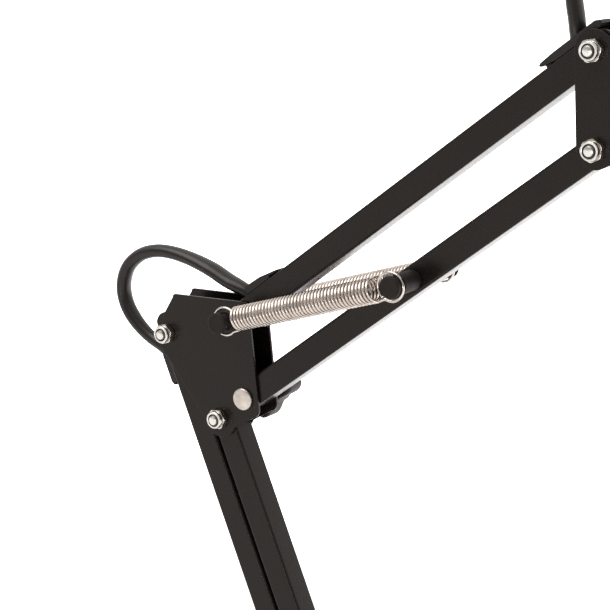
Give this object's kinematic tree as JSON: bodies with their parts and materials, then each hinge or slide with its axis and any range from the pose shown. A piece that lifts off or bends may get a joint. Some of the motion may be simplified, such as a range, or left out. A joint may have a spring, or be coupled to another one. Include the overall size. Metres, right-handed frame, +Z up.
{
  "type": "architect desk lamp",
  "caption": "Black architect desk lamp: parallelogram arms of square tube, extension springs, sheet metal brackets, bell shade and round weighted base.",
  "frame": {"origin": "centre of the underside of the foot pad, on the swivel axis", "axes": "+Z up, +X the way the upper arm reaches, +Y away from the side with the nuts and towards the side with the knobs"},
  "size_m": [0.4611, 0.3558, 0.6096],
  "materials": {
    "black_enamel": "satin",
    "zinc": "polished",
    "nickel": "polished",
    "black_plastic": "matte",
    "cord_rubber": "matte",
    "cast_iron": "rough",
    "felt": "matte",
    "opal_glass": "opal",
    "brass": "polished"
  },
  "bodies": {
    "base": {"base_cover": "black_enamel", "base_weight": "cast_iron", "base_foot_pad": "felt", "swivel_bush": "black_plastic", "cord_gland": "black_plastic", "cord_in_base": "cord_rubber", "mains_lead": "cord_rubber", "mains_coil": "cord_rubber", "mains_tail": "cord_rubber", "mains_plug": "black_plastic"},
    "swivel": {"swivel_stem": "zinc", "stem_nut": "zinc", "bracket_block": "black_enamel", "base_plate_front": "black_enamel", "base_plate_rear": "black_enamel", "base_spring_pin": "black_enamel", "base_tension_bolt": "zinc", "base_cord_loop": "cord_rubber"},
    "base_knob": {"base_knob": "black_plastic"},
    "lower_left": {"lower_tube_left": "black_enamel", "cord_hood_base": "black_plastic", "cord_hood_elbow_lower": "black_plastic", "cord_in_lower_arm": "cord_rubber"},
    "lower_right": {"lower_tube_right": "black_enamel", "lower_spring_post": "black_enamel", "lower_spring_front": "nickel", "lower_spring_rear": "nickel"},
    "elbow": {"elbow_plate_front": "black_enamel", "elbow_plate_rear": "black_enamel", "elbow_spring_pin": "black_enamel", "elbow_bolt_left": "zinc", "elbow_nut_left": "zinc", "elbow_bolt_right": "zinc", "elbow_nut_right": "zinc", "elbow_tension_bolt": "zinc", "elbow_cord_loop": "cord_rubber"},
    "elbow_knob": {"elbow_knob": "black_plastic"},
    "upper_high": {"upper_tube_high": "black_enamel", "cord_hood_elbow_upper": "black_plastic", "cord_hood_head": "black_plastic", "cord_in_upper_arm": "cord_rubber"},
    "upper_low": {"upper_tube_low": "black_enamel", "upper_spring_post": "black_enamel", "upper_spring_front": "nickel", "upper_spring_rear": "nickel"},
    "head": {"head_plate_front": "black_enamel", "head_plate_rear": "black_enamel", "head_bolt_high": "zinc", "head_nut_high": "zinc", "head_bolt_low": "zinc", "head_nut_low": "zinc", "head_tension_bolt": "zinc", "head_cord_loop": "cord_rubber"},
    "head_knob": {"head_knob": "black_plastic"},
    "shade": {"socket_cup": "black_enamel", "shade": "black_enamel", "lampholder": "black_plastic", "bulb_cap": "brass", "bulb": "opal_glass"},
    "switch": {"switch_button": "black_plastic"}
  },
  "joints": [
    {"name": "swivel", "type": "hinge", "parent": "base", "child": "swivel", "pos_m": [0, 0, 0.03], "axis": [0, 0, 1], "range_deg": [-170, 170]},
    {"name": "base_knob_turn", "type": "hinge", "parent": "swivel", "child": "base_knob", "pos_m": [0.01745, 0, 0.0604], "axis": [0, 1, 0], "continuous": true},
    {"name": "lower_arm", "type": "hinge", "parent": "swivel", "child": "lower_left", "pos_m": [-0.01745, 0, 0.1019], "axis": [0, 1, 0], "range_deg": [0, 55], "deforming": ["base_cord_loop", "elbow_cord_loop"]},
    {"name": "lower_arm_right", "type": "hinge", "parent": "swivel", "child": "lower_right", "pos_m": [0.01745, 0, 0.0604], "axis": [0, 1, 0], "range_deg": [0, 55], "deforming": ["lower_spring_front", "lower_spring_rear"]},
    {"name": "elbow_level", "type": "hinge", "parent": "lower_left", "child": "elbow", "pos_m": [-0.13611, 0, 0.37743], "axis": [0, 1, 0], "range_deg": [-55, 0], "deforming": ["elbow_cord_loop"]},
    {"name": "elbow_knob_turn", "type": "hinge", "parent": "elbow", "child": "elbow_knob", "pos_m": [-0.08551, 0, 0.34903], "axis": [0, 1, 0], "continuous": true},
    {"name": "upper_arm", "type": "hinge", "parent": "elbow", "child": "upper_high", "pos_m": [-0.08781, 0, 0.39333], "axis": [0, 1, 0], "range_deg": [-32, 45], "deforming": ["elbow_cord_loop", "head_cord_loop"]},
    {"name": "upper_arm_low", "type": "hinge", "parent": "elbow", "child": "upper_low", "pos_m": [-0.08551, 0, 0.34903], "axis": [0, 1, 0], "range_deg": [-32, 45], "deforming": ["upper_spring_front", "upper_spring_rear"]},
    {"name": "head_level", "type": "hinge", "parent": "upper_high", "child": "head", "pos_m": [0.1089, 0, 0.54221], "axis": [0, 1, 0], "range_deg": [-45, 32], "deforming": ["head_cord_loop"]},
    {"name": "head_knob_turn", "type": "hinge", "parent": "head", "child": "head_knob", "pos_m": [0.1522, 0, 0.51721], "axis": [0, 1, 0], "continuous": true},
    {"name": "shade_tilt", "type": "hinge", "parent": "head", "child": "shade", "pos_m": [0.1522, 0, 0.51721], "axis": [0, 1, 0], "range_deg": [-45, 35], "deforming": ["head_cord_loop"]},
    {"name": "switch_press", "type": "slide", "parent": "shade", "child": "switch", "axis": [0.342, 0, -0.9397], "range_m": [0, 0.0025], "stiffness_N_per_m": 400}
  ],
  "couplings": [
    {"joint": "lower_arm_right", "follows": "lower_arm", "ratio": 1},
    {"joint": "elbow_level", "follows": "lower_arm", "ratio": -1},
    {"joint": "upper_arm_low", "follows": "upper_arm", "ratio": 1},
    {"joint": "head_level", "follows": "upper_arm", "ratio": -1}
  ]
}
